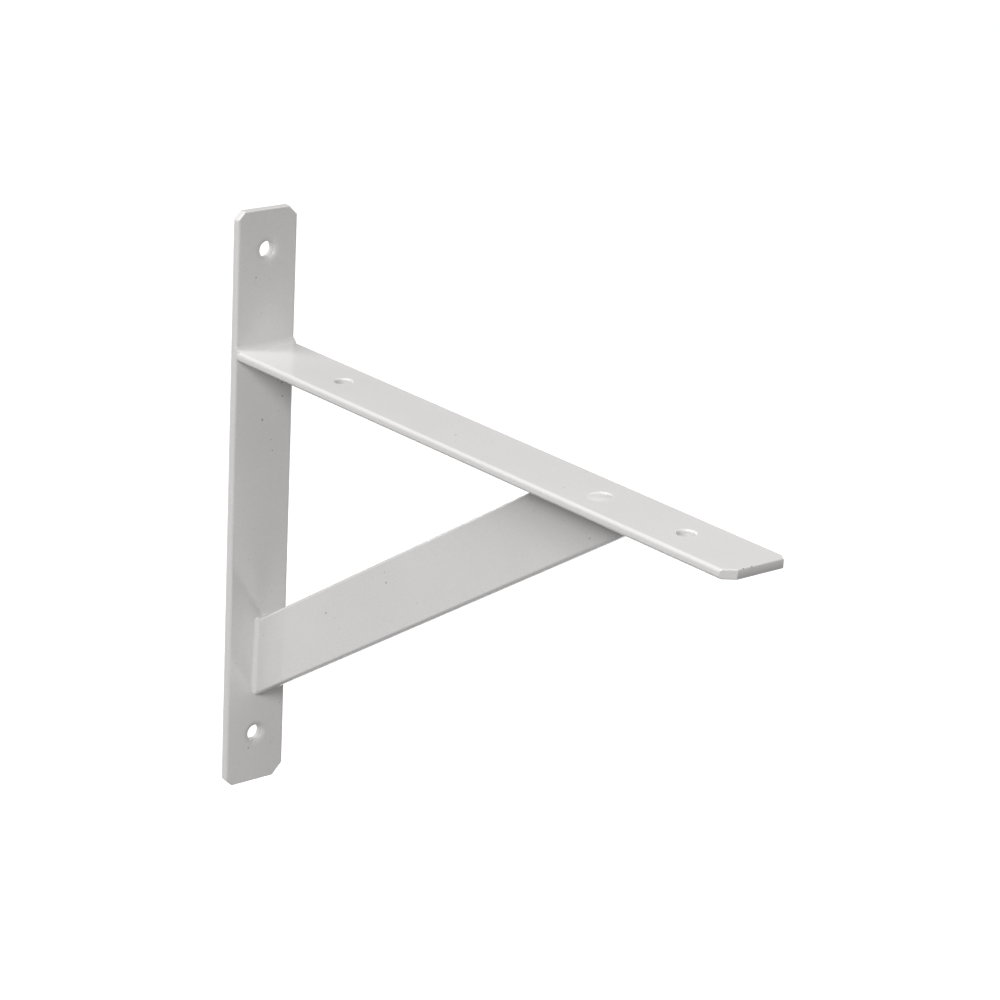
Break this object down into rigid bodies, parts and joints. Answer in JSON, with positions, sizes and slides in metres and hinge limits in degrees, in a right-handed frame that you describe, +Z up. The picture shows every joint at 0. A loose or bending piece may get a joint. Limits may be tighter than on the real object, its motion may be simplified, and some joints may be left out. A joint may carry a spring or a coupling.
{
  "type": "gallows shelf bracket",
  "caption": "White painted gallows bracket of welded flat steel bar: upright wall plate, level shelf arm and a sloping brace between them.",
  "frame": {"origin": "on the wall plate's back face, at mid-width and level with the shelf arm's top face, so x = 0 is the wall and z = 0 the shelf's underside", "axes": "+X out of the wall along the arm, +Y across the bracket, +Z up"},
  "size_m": [0.305, 0.03, 0.256],
  "materials": {
    "painted_steel": "semi-gloss white powder coat"
  },
  "bodies": {
    "root": {"wall_plate": "painted_steel", "shelf_arm": "painted_steel", "brace": "painted_steel", "arm_weld": "painted_steel", "brace_foot_welds": "painted_steel", "brace_plug_weld": "painted_steel"}
  },
  "joints": []
}
